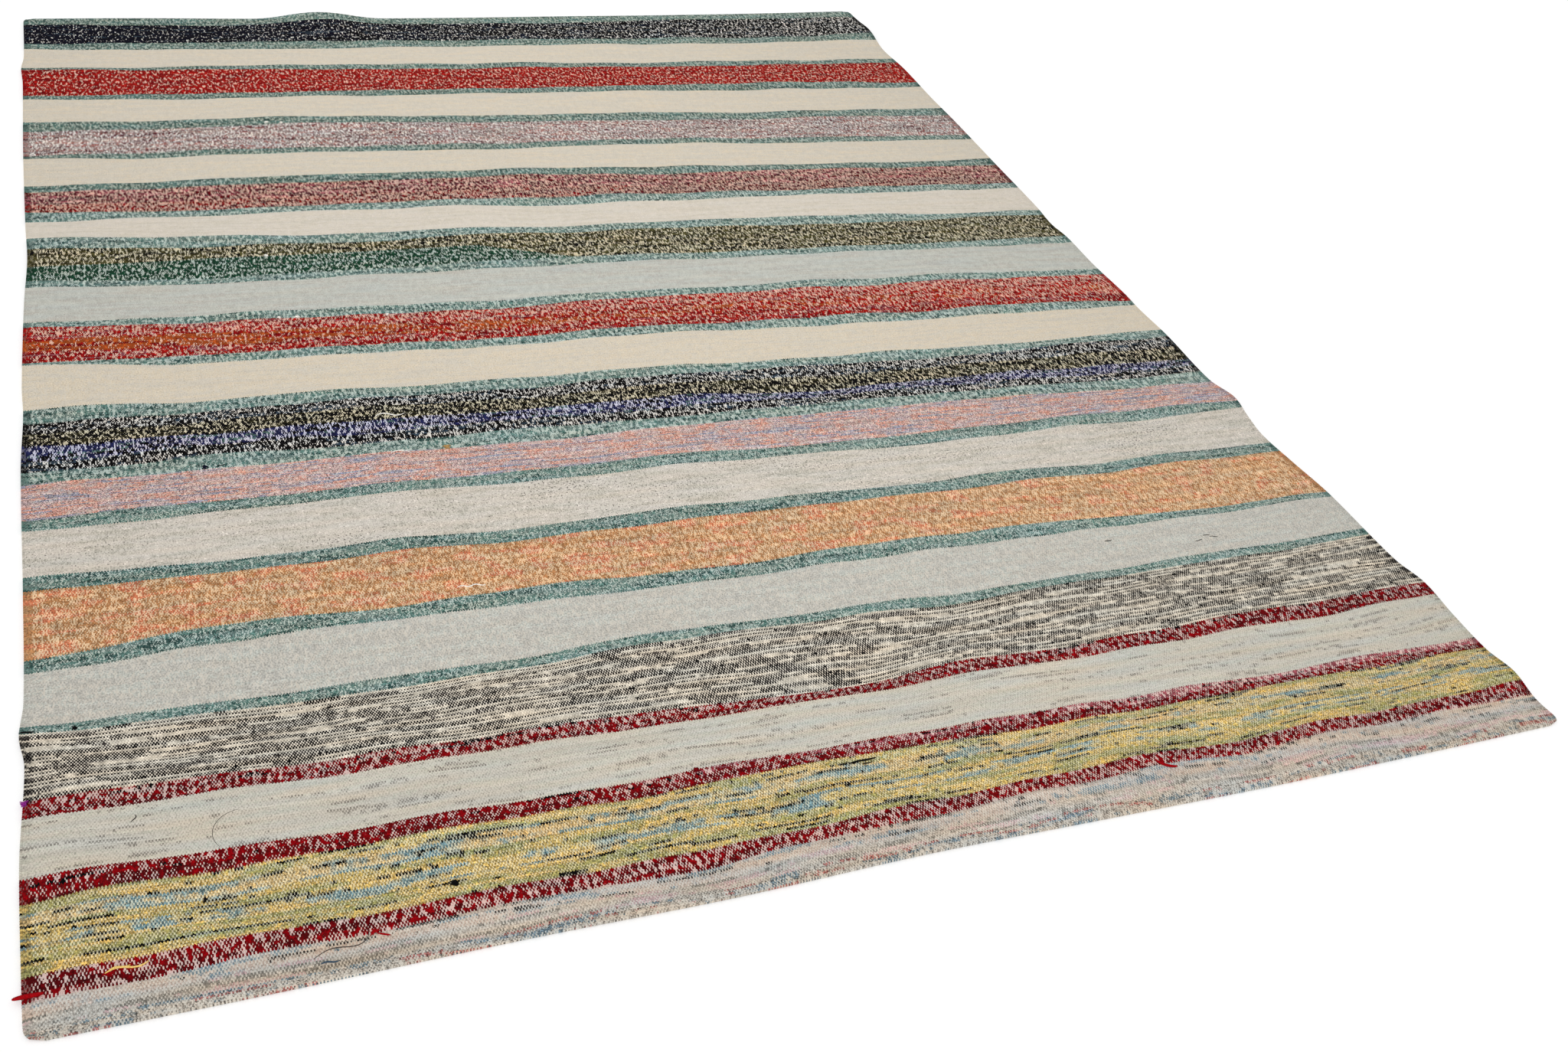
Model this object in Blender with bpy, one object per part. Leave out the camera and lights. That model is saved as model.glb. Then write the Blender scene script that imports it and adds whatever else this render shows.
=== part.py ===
"""A flat-woven striped rug, lying on a floor.

The rug is one woven panel of even thickness. Its cross bands run as unevenly
as hand-beaten weft does, its two selvedges wander, its corners are rounded,
the end of one weft strip sticks out at the left side, and two low swells
lift it off the floor: a ripple at the far end and a bulge at the right side.

Metres. X runs across the rug along the weft, Y along the warp from the near
end to the far end, Z up. The origin is on the floor under the rug's middle.
"""
import math
from collections import namedtuple

import bmesh
import bpy

# Driving sizes, in metres. The last row of the bands table gives the length
WIDTH = 2.00
THICKNESS = 0.003
CORNER_RADIUS = 0.018

# The column pitches of the mesh: fine in the corners, close across the
# ripple and wide everywhere else
CORNER_PITCH = 0.009
RIPPLE_PITCH = 0.04
OPEN_PITCH = 0.165

# The loose end of a weft strip, at the left side of the first crimson band
TAIL_ALONG = 0.055
TAIL_LENGTH = 0.009
TAIL_TIP = 0.30      # the tip's width, as a share of the root's

# Places across the rug at which the bands table is read, as shares of WIDTH
STATIONS = (0.0, 0.25, 0.5, 0.75, 1.0)
NEAR_EDGE = (0.000, 0.001, 0.003, -0.003, 0.001)

# A band of one yarn: the rows of faces that it takes, and how far its far
# edge lies from the rug's near end at each of the five stations
Band = namedtuple("Band", "yarn rows left quarter middle three_quarter right")
BANDS = (
    Band("pebble", 3, 0.050, 0.049, 0.060, 0.062, 0.062),
    Band("crimson", 2, 0.080, 0.077, 0.081, 0.084, 0.090),
    Band("ochre", 3, 0.180, 0.175, 0.173, 0.168, 0.167),
    Band("crimson", 1, 0.215, 0.202, 0.198, 0.192, 0.190),
    Band("oatmeal", 2, 0.305, 0.293, 0.285, 0.284, 0.292),
    Band("crimson", 1, 0.330, 0.320, 0.308, 0.315, 0.320),
    Band("pepper", 3, 0.445, 0.430, 0.440, 0.440, 0.450),
    Band("teal", 1, 0.457, 0.451, 0.459, 0.455, 0.468),
    Band("silver", 2, 0.550, 0.560, 0.550, 0.552, 0.552),
    Band("teal", 1, 0.577, 0.588, 0.581, 0.578, 0.565),
    Band("apricot", 3, 0.713, 0.703, 0.698, 0.691, 0.689),
    Band("teal", 1, 0.746, 0.733, 0.725, 0.722, 0.710),
    Band("oatmeal", 2, 0.846, 0.843, 0.836, 0.824, 0.825),
    Band("teal", 1, 0.872, 0.871, 0.864, 0.853, 0.850),
    Band("pink", 2, 0.955, 0.948, 0.942, 0.935, 0.913),
    Band("teal", 1, 0.988, 0.977, 0.972, 0.962, 0.946),
    Band("midnight", 1, 1.055, 1.045, 1.030, 1.008, 0.995),
    Band("coal", 1, 1.112, 1.104, 1.097, 1.075, 1.078),
    Band("teal", 1, 1.151, 1.134, 1.128, 1.108, 1.100),
    Band("cream", 3, 1.282, 1.242, 1.231, 1.208, 1.195),
    Band("teal", 1, 1.288, 1.266, 1.258, 1.240, 1.212),
    Band("scarlet", 3, 1.399, 1.367, 1.357, 1.345, 1.320),
    Band("teal", 1, 1.411, 1.396, 1.386, 1.372, 1.345),
    Band("ice", 3, 1.528, 1.503, 1.497, 1.475, 1.455),
    Band("teal", 1, 1.552, 1.525, 1.521, 1.500, 1.488),
    Band("olive", 3, 1.668, 1.632, 1.622, 1.598, 1.583),
    Band("teal", 1, 1.707, 1.665, 1.646, 1.635, 1.605),
    Band("cream", 2, 1.770, 1.760, 1.737, 1.731, 1.712),
    Band("teal", 1, 1.808, 1.787, 1.776, 1.756, 1.738),
    Band("plum", 2, 1.888, 1.884, 1.873, 1.848, 1.828),
    Band("teal", 1, 1.915, 1.917, 1.903, 1.877, 1.860),
    Band("cream", 2, 2.032, 2.018, 2.001, 1.983, 1.962),
    Band("teal", 1, 2.043, 2.043, 2.031, 2.010, 1.990),
    Band("mauve", 2, 2.160, 2.160, 2.135, 2.113, 2.100),
    Band("teal", 1, 2.200, 2.195, 2.168, 2.150, 2.138),
    Band("cream", 3, 2.312, 2.298, 2.288, 2.276, 2.265),
    Band("teal", 1, 2.333, 2.325, 2.315, 2.313, 2.297),
    Band("scarlet", 3, 2.470, 2.448, 2.432, 2.422, 2.417),
    Band("teal", 1, 2.478, 2.473, 2.464, 2.448, 2.446),
    Band("cream", 2, 2.580, 2.570, 2.565, 2.565, 2.565),
    Band("teal", 1, 2.612, 2.608, 2.604, 2.600, 2.607),
    Band("midnight", 4, 2.728, 2.713, 2.712, 2.722, 2.727),
    Band("teal", 2, 2.762, 2.752, 2.749, 2.755, 2.773),
)

# How far a selvedge strays outwards from a straight side, at places along it
Stray = namedtuple("Stray", "along out")
LEFT_SELVEDGE = (
    Stray(0.00, -0.003),
    Stray(0.08, -0.001),
    Stray(0.24, 0.001),
    Stray(0.39, -0.004),
    Stray(0.44, 0.002),
    Stray(0.50, -0.003),
    Stray(0.72, -0.002),
    Stray(1.00, 0.001),
    Stray(1.14, -0.002),
    Stray(1.22, 0.000),
    Stray(1.48, -0.003),
    Stray(1.63, -0.008),
    Stray(1.76, -0.005),
    Stray(2.08, -0.001),
    Stray(2.40, 0.000),
    Stray(2.48, 0.003),
    Stray(2.54, -0.002),
    Stray(2.76, -0.001),
)
RIGHT_SELVEDGE = (
    Stray(0.00, 0.005),
    Stray(0.05, 0.000),
    Stray(0.11, 0.010),
    Stray(0.16, 0.001),
    Stray(0.24, 0.004),
    Stray(0.32, 0.011),
    Stray(0.38, 0.000),
    Stray(0.56, 0.001),
    Stray(0.66, -0.008),
    Stray(0.74, -0.013),
    Stray(0.80, -0.004),
    Stray(0.86, 0.007),
    Stray(0.92, -0.008),
    Stray(1.08, -0.003),
    Stray(1.18, -0.006),
    Stray(1.24, -0.004),
    Stray(1.36, -0.008),
    Stray(1.48, -0.005),
    Stray(1.54, -0.011),
    Stray(1.62, -0.005),
    Stray(1.84, 0.000),
    Stray(2.06, 0.006),
    Stray(2.20, 0.007),
    Stray(2.38, 0.013),
    Stray(2.50, 0.008),
    Stray(2.63, 0.021),
    Stray(2.70, 0.020),
    Stray(2.78, 0.020),
)

# Low places where the cloth stands off the floor: the top's place, how far
# it reaches each way, and its height
Swell = namedtuple("Swell", "across along reach_across reach_along height")
FAR_RIPPLE = Swell(0.64, 2.77, 0.15, 0.18, 0.0165)
SWELLS = (
    FAR_RIPPLE,
    Swell(2.00, 2.62, 0.16, 0.12, 0.0050),
)

# Linear base colour of each yarn, as it looks a step away with the pale warp
# showing through
YARN_COLOURS = {
    "pebble": (0.45, 0.41, 0.38),
    "crimson": (0.22, 0.02, 0.03),
    "ochre": (0.38, 0.33, 0.14),
    "oatmeal": (0.52, 0.49, 0.44),
    "pepper": (0.27, 0.25, 0.24),
    "teal": (0.14, 0.21, 0.21),
    "silver": (0.48, 0.47, 0.46),
    "apricot": (0.55, 0.30, 0.15),
    "pink": (0.44, 0.26, 0.23),
    "midnight": (0.05, 0.05, 0.10),
    "coal": (0.08, 0.07, 0.06),
    "cream": (0.63, 0.56, 0.47),
    "scarlet": (0.42, 0.05, 0.04),
    "ice": (0.50, 0.51, 0.51),
    "olive": (0.15, 0.13, 0.07),
    "plum": (0.28, 0.12, 0.14),
    "mauve": (0.36, 0.29, 0.29),
}
YARN_ROUGHNESS = 0.95


def clear_scene():
    for item in list(bpy.data.objects):
        bpy.data.objects.remove(item, do_unlink=True)


def read_curve(places, values, at):
    """The value at one place on the smooth curve through a table's points."""
    last = len(places) - 2
    span = max(index for index in range(last + 1) if index == 0 or at >= places[index])

    def slope(index):
        before = max(index - 1, 0)
        after = min(index + 1, last + 1)
        return (values[after] - values[before]) / (places[after] - places[before])

    length = places[span + 1] - places[span]
    share = min(max((at - places[span]) / length, 0.0), 1.0)
    rise = 3 * share**2 - 2 * share**3
    leave = share * (1 - share) ** 2 * slope(span) * length
    arrive = share**2 * (share - 1) * slope(span + 1) * length
    return values[span] * (1 - rise) + values[span + 1] * rise + leave + arrive


def stray_at(selvedge, along):
    return read_curve([row.along for row in selvedge], [row.out for row in selvedge], along)


def lift_at(across, along):
    """How far the underside stands off the floor."""

    def bell(distance, reach):
        share = min(abs(distance) / reach, 1.0)
        return 0.5 + 0.5 * math.cos(math.pi * share)

    return sum(
        swell.height
        * bell(across - swell.across, swell.reach_across)
        * bell(along - swell.along, swell.reach_along)
        for swell in SWELLS
    )


def evenly(start, end, pitch):
    """Places from start up to, but not at, end, no more than a pitch apart."""
    steps = math.ceil((end - start) / pitch - 0.001)
    return [start + (end - start) * step / steps for step in range(steps)]


def column_places():
    """Distances across the rug at which the mesh has a column of points."""
    ripple_start = FAR_RIPPLE.across - FAR_RIPPLE.reach_across
    ripple_end = FAR_RIPPLE.across + FAR_RIPPLE.reach_across
    return (
        evenly(0.0, CORNER_RADIUS, CORNER_PITCH)
        + evenly(CORNER_RADIUS, ripple_start, OPEN_PITCH)
        + evenly(ripple_start, ripple_end, RIPPLE_PITCH)
        + evenly(ripple_end, WIDTH - CORNER_RADIUS, OPEN_PITCH)
        + evenly(WIDTH - CORNER_RADIUS, WIDTH, CORNER_PITCH)
        + [WIDTH]
    )


def row_edges():
    """Each row of points as its far edge at the five stations, and its yarn."""
    rows = [(NEAR_EDGE, BANDS[0].yarn)]
    below = NEAR_EDGE
    for band in BANDS:
        above = (band.left, band.quarter, band.middle, band.three_quarter, band.right)
        for step in range(1, band.rows + 1):
            share = step / band.rows
            rows.append(([low + (high - low) * share for low, high in zip(below, above)], band.yarn))
        below = above
    return rows


def round_corner(across, along, ends):
    """Pull a point that lies in a square corner in to the corner's arc."""
    near_end, far_end = ends
    centre_across = min(max(across, CORNER_RADIUS), WIDTH - CORNER_RADIUS)
    centre_along = min(max(along, near_end + CORNER_RADIUS), far_end - CORNER_RADIUS)
    distance = math.hypot(across - centre_across, along - centre_along)
    if distance <= CORNER_RADIUS:
        return across, along
    share = CORNER_RADIUS / distance
    return (
        centre_across + (across - centre_across) * share,
        centre_along + (along - centre_along) * share,
    )


def plan_point(across, edge, ends):
    """A point of the outline or of a weft line, seen from above."""
    along = read_curve([share * WIDTH for share in STATIONS], edge, across)
    across, along = round_corner(across, along, ends)
    from_middle = 2 * across / WIDTH - 1
    if from_middle > 0:
        stray = stray_at(RIGHT_SELVEDGE, along)
    else:
        stray = stray_at(LEFT_SELVEDGE, along)
    return across + stray * from_middle**3, along


def end_edges(across, rows):
    """Where the rug's near and far ends lie, at one place across it."""
    places = [share * WIDTH for share in STATIONS]
    return read_curve(places, rows[0][0], across), read_curve(places, rows[-1][0], across)


def weave_underside(rug, yarns):
    """The sheet that becomes the underside: a row of points for each weft line."""
    columns = column_places()
    rows = row_edges()
    lines = []
    for edge, _ in rows:
        line = []
        for across in columns:
            x, y = plan_point(across, edge, end_edges(across, rows))
            line.append(rug.verts.new((x, y, lift_at(across, y))))
        lines.append(line)
    for index in range(1, len(rows)):
        for left in range(len(columns) - 1):
            face = rug.faces.new(
                (
                    lines[index - 1][left],
                    lines[index - 1][left + 1],
                    lines[index][left + 1],
                    lines[index][left],
                )
            )
            face.material_index = yarns.index(rows[index][1])


def thicken(rug):
    """Raise a copy of the sheet by the cloth's thickness and close the rim."""
    raised = bmesh.ops.extrude_face_region(rug, geom=rug.faces[:], use_keep_orig=True)["geom"]
    top = [item for item in raised if isinstance(item, bmesh.types.BMVert)]
    bmesh.ops.translate(rug, verts=top, vec=(0.0, 0.0, THICKNESS))
    bmesh.ops.recalc_face_normals(rug, faces=rug.faces[:])


def pull_out_tail(rug):
    """Draw the end of one weft strip out of the left selvedge."""
    rim = [face for face in rug.faces if face.normal.x < -0.9]
    root = min(rim, key=lambda face: abs(face.calc_center_median().y - TAIL_ALONG))
    drawn = bmesh.ops.extrude_discrete_faces(rug, faces=[root])["faces"][0]
    middle = drawn.calc_center_median()
    for corner in drawn.verts:
        corner.co.x -= TAIL_LENGTH
        corner.co.y = TAIL_ALONG + (corner.co.y - middle.y) * TAIL_TIP


def centre_on_floor(rug):
    """Put the origin on the floor under the middle of the rug's outline."""
    across = [point.co.x for point in rug.verts]
    along = [point.co.y for point in rug.verts]
    middle = ((min(across) + max(across)) / 2, (min(along) + max(along)) / 2)
    bmesh.ops.translate(rug, verts=rug.verts[:], vec=(-middle[0], -middle[1], 0.0))


def yarn_material(yarn):
    material = bpy.data.materials.new(f"{yarn} yarn")
    material.use_nodes = True
    material.diffuse_color = (*YARN_COLOURS[yarn], 1.0)
    shader = material.node_tree.nodes["Principled BSDF"]
    shader.inputs["Base Color"].default_value = (*YARN_COLOURS[yarn], 1.0)
    shader.inputs["Roughness"].default_value = YARN_ROUGHNESS
    shader.inputs["Metallic"].default_value = 0.0
    return material


def make_rug():
    yarns = list(YARN_COLOURS)
    rug = bmesh.new()
    weave_underside(rug, yarns)
    thicken(rug)
    pull_out_tail(rug)
    centre_on_floor(rug)
    mesh = bpy.data.meshes.new("rug")
    rug.to_mesh(mesh)
    rug.free()
    for yarn in yarns:
        mesh.materials.append(yarn_material(yarn))
    item = bpy.data.objects.new("rug", mesh)
    bpy.context.collection.objects.link(item)


clear_scene()
make_rug()
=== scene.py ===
"""A flat-woven striped rag rug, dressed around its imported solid.

The cloth is one woven panel in cross bands, with a rounded selvedge along each
side and a few loose ends of weft on top. It lies on a plain pale floor.

Metres. X runs across the rug along the weft, Y along the warp from the near
end to the far end, Z up, with the origin on the floor under the rug's middle.
Places on the rug are given from its near left corner.
"""

import functools
import math
import random
from collections import namedtuple
from statistics import NormalDist

import bpy
from bpy.props import FloatProperty, FloatVectorProperty, PointerProperty
from bpy.types import Operator, Panel, PropertyGroup
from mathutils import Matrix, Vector, noise


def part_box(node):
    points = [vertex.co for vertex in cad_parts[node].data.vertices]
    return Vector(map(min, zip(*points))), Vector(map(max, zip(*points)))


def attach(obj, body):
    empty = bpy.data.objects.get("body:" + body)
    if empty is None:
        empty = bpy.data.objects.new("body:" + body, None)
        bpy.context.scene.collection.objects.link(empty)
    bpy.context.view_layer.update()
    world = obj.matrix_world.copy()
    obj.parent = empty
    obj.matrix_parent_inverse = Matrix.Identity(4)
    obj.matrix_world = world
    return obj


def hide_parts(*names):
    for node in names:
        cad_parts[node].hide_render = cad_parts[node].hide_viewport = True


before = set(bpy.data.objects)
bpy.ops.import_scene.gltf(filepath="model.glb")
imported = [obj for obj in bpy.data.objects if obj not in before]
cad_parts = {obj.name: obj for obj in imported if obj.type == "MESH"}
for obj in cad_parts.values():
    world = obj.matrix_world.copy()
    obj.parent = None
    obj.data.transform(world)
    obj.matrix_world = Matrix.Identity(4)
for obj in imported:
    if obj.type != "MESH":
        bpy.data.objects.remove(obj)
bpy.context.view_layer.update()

bl_info = {
    "name": "Rag rug",
    "version": (1, 0, 0),
    "blender": (4, 5, 0),
    "location": "3D View > Sidebar > Rag rug",
    "description": "Weaves a striped rag rug and sets it on a pale floor",
    "category": "Add Mesh",
}

BODY = "root"
NODE = "rug"
MM = 0.001

# --------------------------------------------------------------------------
# The weave's plan
# --------------------------------------------------------------------------

# Distances across the rug at which the bands' edges are given
STATIONS = (0.02, 0.25, 0.50, 0.75, 1.00, 1.25, 1.50, 1.75, 1.98)
NEAR_END = (0, -1, 1, -2, 3, 0, -3, -2, 1)

# A band of weft: how far its far edge lies from the near end at each station,
# in millimetres, and the yarns in it from near to far, with each one's share
Band = namedtuple("Band", "far_edge yarns")
BANDS = (
    Band((50, 50, 49, 48, 60, 63, 62, 62, 62), {"hem": 0.3, "pebble": 0.35, "fawn": 0.35}),
    Band((80, 79, 77, 73, 81, 85, 84, 85, 90), {"crimson": 1}),
    Band(
        (180, 175, 175, 175, 173, 170, 168, 165, 167),
        {"lime": 0.3, "lagoon": 0.2, "marigold": 0.15, "chalk": 0.2, "honey": 0.15},
    ),
    Band((215, 205, 202, 200, 198, 196, 192, 188, 190), {"garnet": 0.5, "sloe": 0.5}),
    Band((305, 297, 293, 287, 285, 286, 284, 285, 292), {"oatmeal": 0.7, "linen": 0.3}),
    Band((332, 326, 320, 312, 302, 312, 315, 318, 320), {"ruby": 0.6, "blush": 0.4}),
    Band((445, 425, 430, 440, 440, 430, 440, 440, 450), {"pepper": 1}),
    Band((457, 443, 451, 456, 459, 451, 455, 460, 468), {"teal": 1}),
    Band((550, 560, 560, 556, 550, 555, 552, 550, 552), {"silver": 1}),
    Band((577, 592, 588, 587, 581, 586, 578, 568, 565), {"teal": 1}),
    Band((713, 705, 703, 697, 698, 694, 691, 691, 689), {"apricot": 1}),
    Band((746, 733, 733, 727, 725, 722, 722, 714, 710), {"teal": 1}),
    Band((846, 844, 843, 837, 836, 824, 824, 824, 825), {"barley": 1}),
    Band((872, 872, 871, 864, 864, 851, 853, 853, 850), {"teal": 1}),
    Band((955, 951, 948, 940, 942, 938, 935, 922, 913), {"petal": 1}),
    Band((988, 984, 977, 972, 972, 964, 962, 952, 946), {"sage": 1}),
    Band((1015, 1012, 1005, 1002, 1000, 985, 985, 975, 970), {"magpie": 1}),
    Band((1055, 1045, 1045, 1030, 1030, 1005, 1008, 1000, 995), {"iris": 1}),
    Band((1112, 1108, 1104, 1095, 1097, 1085, 1075, 1078, 1078), {"moss": 0.55, "coal": 0.45}),
    Band((1151, 1141, 1134, 1125, 1128, 1110, 1108, 1097, 1100), {"sage": 1}),
    Band((1282, 1248, 1242, 1229, 1231, 1216, 1208, 1200, 1195), {"cream": 1}),
    Band((1287, 1272, 1266, 1255, 1258, 1246, 1240, 1234, 1212), {"sage": 1}),
    Band(
        (1399, 1376, 1367, 1355, 1357, 1352, 1345, 1335, 1320),
        {"scarlet": 0.3, "ember": 0.35, "coral": 0.35},
    ),
    Band((1411, 1400, 1396, 1387, 1386, 1378, 1372, 1360, 1345), {"sage": 1}),
    Band((1528, 1506, 1503, 1500, 1497, 1485, 1475, 1464, 1455), {"ice": 1}),
    Band((1552, 1526, 1525, 1524, 1521, 1508, 1500, 1491, 1488), {"sage": 1}),
    Band((1668, 1648, 1632, 1632, 1622, 1613, 1598, 1592, 1583), {"olive": 1}),
    Band((1707, 1688, 1665, 1662, 1646, 1644, 1635, 1614, 1605), {"sage": 1}),
    Band((1770, 1764, 1760, 1755, 1737, 1733, 1731, 1720, 1712), {"shell": 1}),
    Band((1808, 1786, 1787, 1784, 1776, 1763, 1756, 1748, 1738), {"sage": 1}),
    Band((1888, 1886, 1884, 1880, 1873, 1855, 1848, 1836, 1828), {"mulberry": 0.4, "plum": 0.6}),
    Band((1915, 1917, 1917, 1907, 1903, 1888, 1877, 1864, 1860), {"jade": 1}),
    Band((2032, 2017, 2018, 2011, 2001, 2000, 1983, 1975, 1962), {"vanilla": 1}),
    Band((2043, 2046, 2043, 2036, 2031, 2028, 2010, 2000, 1990), {"jade": 1}),
    Band((2160, 2158, 2160, 2150, 2135, 2126, 2113, 2107, 2100), {"mauve": 1}),
    Band((2200, 2192, 2195, 2180, 2168, 2165, 2150, 2146, 2138), {"jade": 1}),
    Band((2312, 2298, 2298, 2293, 2288, 2285, 2276, 2270, 2265), {"vanilla": 1}),
    Band((2333, 2325, 2325, 2322, 2315, 2317, 2313, 2312, 2297), {"jade": 1}),
    Band((2470, 2457, 2448, 2440, 2432, 2430, 2422, 2422, 2417), {"poppy": 1}),
    Band((2478, 2471, 2473, 2466, 2464, 2451, 2448, 2446, 2446), {"jade": 1}),
    Band((2580, 2569, 2570, 2562, 2565, 2566, 2565, 2567, 2565), {"vanilla": 1}),
    Band((2612, 2609, 2608, 2607, 2604, 2604, 2600, 2600, 2607), {"jade": 1}),
    Band((2728, 2711, 2713, 2711, 2712, 2707, 2722, 2724, 2727), {"midnight": 1}),
    Band((2762, 2760, 2752, 2748, 2749, 2753, 2755, 2762, 2773), {"jade": 1}),
)

# How far a selvedge strays outwards, in millimetres, at distances along it
LEFT_SELVEDGE = {
    0.00: -3, 0.08: -1, 0.24: 1, 0.39: -4, 0.44: 2, 0.50: -3, 0.72: -2, 1.00: 1, 1.14: -2,
    1.22: 0, 1.48: -3, 1.63: -8, 1.76: -5, 2.08: -1, 2.40: 0, 2.48: 3, 2.54: -2, 2.76: -1,
}
RIGHT_SELVEDGE = {
    0.00: 5, 0.05: 0, 0.11: 10, 0.16: 1, 0.24: 4, 0.32: 11, 0.38: 0, 0.56: 1, 0.66: -8,
    0.74: -13, 0.80: -4, 0.86: 7, 0.92: -8, 1.08: -3, 1.18: -6, 1.24: -4, 1.36: -8, 1.48: -5,
    1.54: -11, 1.62: -5, 1.84: 0, 2.06: 6, 2.20: 7, 2.38: 13, 2.50: 8, 2.63: 21, 2.70: 20,
    2.78: 20,
}

# Low places where the cloth stands off the floor
Swell = namedtuple("Swell", "across along reach_across reach_along height")
SWELLS = (
    Swell(0.64, 2.77, 0.15, 0.18, 0.0165),
    Swell(2.00, 2.62, 0.16, 0.12, 0.0050),
)

# A loose end of yarn on the cloth: its dye, where it starts, its heading in
# degrees from the weft, how far it turns from start to end, how far it sways to
# each side and how many times, and its length and thickness in millimetres
Strand = namedtuple("Strand", "dye across along heading turn sway waves length thick")
STRANDS = (
    Strand("crimson", -0.008, 0.055, 2, 0, 4, 1, 30, 5.5),
    Strand("ochre", 0.080, 0.066, 2, 12, 25, 1, 46, 2.4),
    Strand("ochre", 0.084, 0.069, 10, -10, 20, 1, 22, 2.0),
    Strand("black", -0.003, 0.446, -4, 0, 10, 1, 18, 2.2),
    Strand("soot", 0.206, 0.212, 125, -125, 0, 0, 72, 0.6),
    Strand("soot", 0.286, 0.031, -5, 60, 35, 1, 76, 1.1),
    Strand("slate", 0.292, 0.022, 0, 0, 20, 1, 20, 2.2),
    Strand("soot", 0.120, 0.283, -100, -40, 20, 1, 13, 1.3),
    Strand("black", 0.964, 0.165, 3, 0, 4, 1, 38, 2.6),
    Strand("black", 0.980, 0.160, 3, 0, 4, 1, 14, 1.8),
    Strand("crimson", 1.368, 0.076, -70, 70, 0, 0, 32, 4.0),
    Strand("crimson", 0.356, 0.048, -30, 10, 0, 0, 14, 2.4),
    Strand("bone", 0.508, 1.048, 8, -8, 38, 1, 52, 1.9),
    Strand("bone", 0.552, 0.609, 0, -4, 30, 2, 42, 1.9),
    Strand("bone", 0.515, 0.944, 50, -100, 0, 0, 26, 1.2),
    Strand("bone", 0.545, 0.940, 110, 90, 0, 0, 24, 1.2),
    Strand("soot", 1.542, 0.519, -8, 10, 0, 0, 12, 1.6),
    Strand("soot", 1.690, 0.489, 3, 20, 0, 0, 16, 1.3),
    Strand("soot", 1.712, 0.500, 0, 0, 10, 1, 12, 1.2),
    Strand("soot", 1.722, 0.496, -15, 0, 10, 1, 14, 1.1),
    Strand("black", 0.262, 0.955, 10, 20, 20, 1, 14, 1.6),
)

# A knot or a frayed tuft: its dye, its place, its width in millimetres and the
# number of short ends that curl over each other in it
Tuft = namedtuple("Tuft", "dye across along width ends")
TUFTS = (
    Tuft("violet", 0.003, 0.328, 9, 12),
    Tuft("crimson", 0.353, 0.050, 10, 12),
    Tuft("black", 0.448, 0.096, 9, 18),
    Tuft("black", 0.059, 0.441, 6, 10),
    Tuft("wine", 0.770, 0.200, 7, 10),
    Tuft("wine", 1.255, 0.190, 11, 16),
    Tuft("khaki", 0.602, 0.946, 11, 10),
    Tuft("navy", 0.247, 0.957, 10, 9),
    Tuft("bone", 0.461, 2.168, 7, 7),
    Tuft("bone", 0.490, 2.165, 6, 6),
    Tuft("bone", 0.400, 1.595, 7, 7),
    Tuft("bone", 0.398, 1.375, 6, 6),
    Tuft("bone", 0.428, 1.372, 8, 8),
    Tuft("bone", 0.577, 1.360, 6, 6),
)

# The camera, as the photograph was taken: its place, its turn about X, Y and Z
# in degrees, and its lens and sensor in millimetres
CAMERA_PLACE = (-0.7885, -2.4880, 1.4526)
CAMERA_TURN = (53.010, -6.975, -20.223)
CAMERA_LENS = 36.76
CAMERA_SENSOR = 36.0
CAMERA_REACH = 100

# The floor's side and how far it lies under the rug, the lamp's turn about X, Y
# and Z in degrees, and how wide it looks from the floor
FLOOR_SIDE = 60
FLOOR_DROP = 0.0006
LAMP_TURN = (38, -18, 0)
LAMP_SPREAD = 25

# The mesh of the cloth, and the rounding of its rim as a share of its thickness
COLUMNS = 100
PICKS_PER_ROW = 2
RIM_SHARE = 0.3
RIM_ANGLE = 50

# The soft unevenness of the cloth: how fast it changes across and along, and
# which slice of the noise it is
COCKLE_ACROSS = 3.1
COCKLE_ALONG = 5.3
COCKLE_SLICE = 0.7

# The selvedges: the rings and sides of their mesh, and how far they bulge and
# narrow where each pick turns back
RINGS_PER_PICK = 4
SELVEDGE_SIDES = 8
SELVEDGE_BULGE = 0.16

# The loose ends: their sides and steps, how thin they are at their tips, and how
# high they lie, as shares of their thickness
STRAND_SIDES = 6
STRAND_STEP_MM = 2
FEWEST_STEPS = 8
STRAND_TIP = 0.35
STRAND_RISE = 0.3

# The tufts' short ends: their thickness, and how far each reaches, rises and
# starts off the middle, as shares of the tuft's width
TUFT_THICK = 0.0016
TUFT_REACH = (0.35, 0.5)
TUFT_RISE = (0.1, 0.3)
TUFT_START = (-0.2, 0.2)
ARCH_STEPS = 8

WEAVE_ATTRIBUTE = "weave"
BAKE_MAP = "OFBake"

# --------------------------------------------------------------------------
# The yarns
# --------------------------------------------------------------------------

# How a course of one yarn looks. Its dyes are the main one, the second and the
# third, and the warp that crosses them, with the share of its length in the
# second and third. Patch is how far those run over several picks together, and
# broken how far they break into short lengths. Cover is how little of the warp
# shows, neat how plainly it shows as a dot at each crossing, and fleck how far it
# gathers in upright flecks. Marl is the twist of the plies, relief the depth of the
# gaps, as bump and as painted shade in them, soft how gradually one dye turns
# into another, tint how much of the weft's dye is on the warp, and drift how far
# the colour drifts along a pick.
#
# Only some yarns have the rest. Clump is the share where the weft hides the warp,
# and hatch how far the warp gathers in slanting strokes. Specks are dark, lean is
# how far the second dye gathers at the right or, below zero, at the left, and
# fade is how much more warp shows there. Blot is how far the second gathers in
# round blots, pairs how far the picks take turns between the main and the second,
# clot how far the warp gathers in small patches, and mottle how far patches are
# lighter and darker
Yarn = namedtuple(
    "Yarn",
    "main second third warp second_share third_share patch broken"
    " cover neat fleck marl relief soft tint drift"
    " clump hatch specks lean fade blot pairs clot mottle",
    defaults=[0] * 9,
)

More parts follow.
